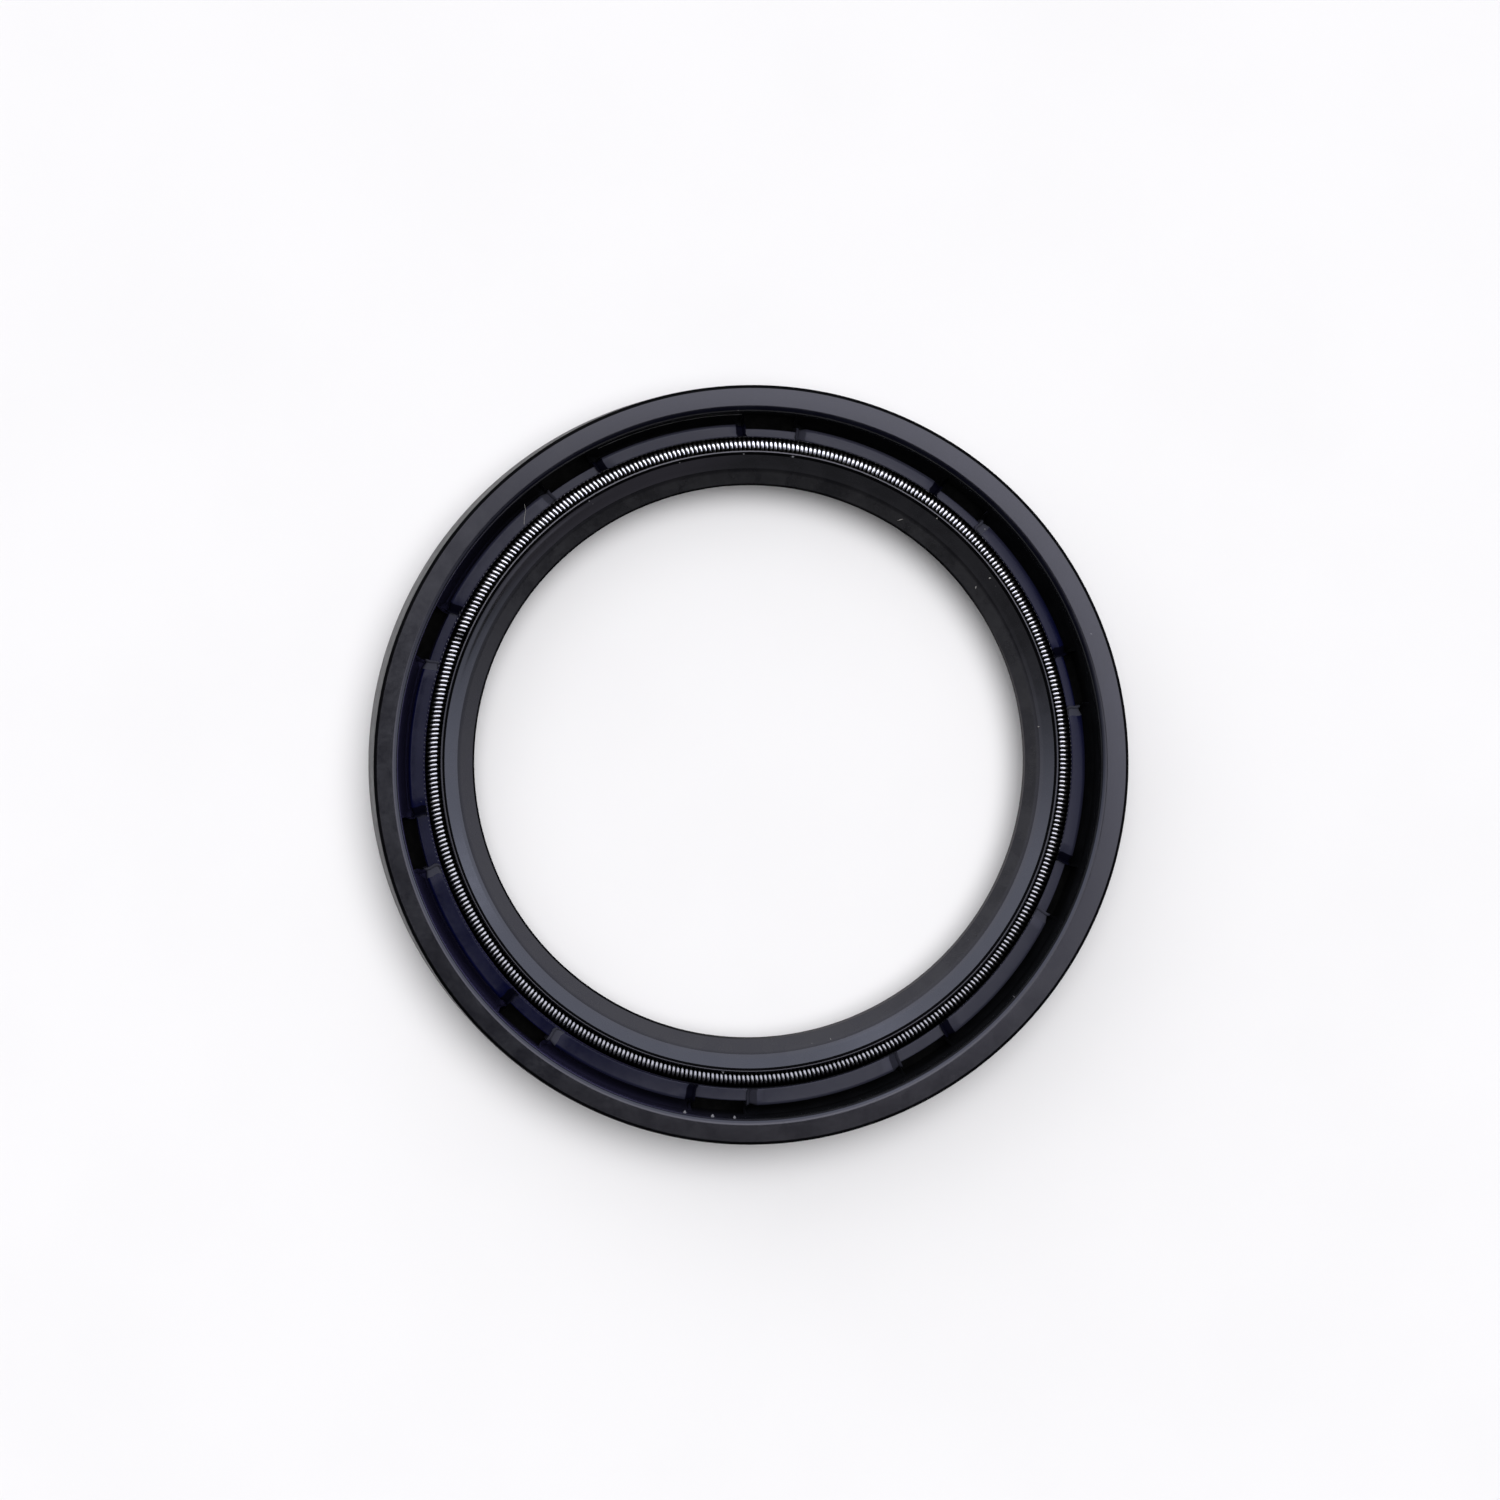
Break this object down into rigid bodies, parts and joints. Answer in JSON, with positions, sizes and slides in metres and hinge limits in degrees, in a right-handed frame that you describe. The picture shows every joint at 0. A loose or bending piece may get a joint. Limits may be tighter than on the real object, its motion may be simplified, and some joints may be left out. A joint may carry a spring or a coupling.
{
  "type": "radial shaft seal",
  "caption": "Rubber-covered radial shaft seal ring with a spring-loaded sealing lip and a dust lip, which closes the gap between a turning shaft and its housing.",
  "frame": {"origin": "centre of the flat air side face, where the seal's base and the shaft's axis meet", "axes": "+Z along the shaft's axis, from the air side to the oil (spring) side; +X and +Y across the ring"},
  "size_m": [0.052, 0.052, 0.007],
  "materials": {
    "rubber": "moulded nitrile rubber, satin, near black with a cool tint",
    "case_steel": "stamped sheet steel, dark phosphate and bonding coat, matt",
    "spring_wire": "drawn spring wire, bright"
  },
  "bodies": {
    "root": {"rubber_body": "rubber", "steel_case": "case_steel", "garter_spring": "spring_wire"}
  },
  "joints": []
}
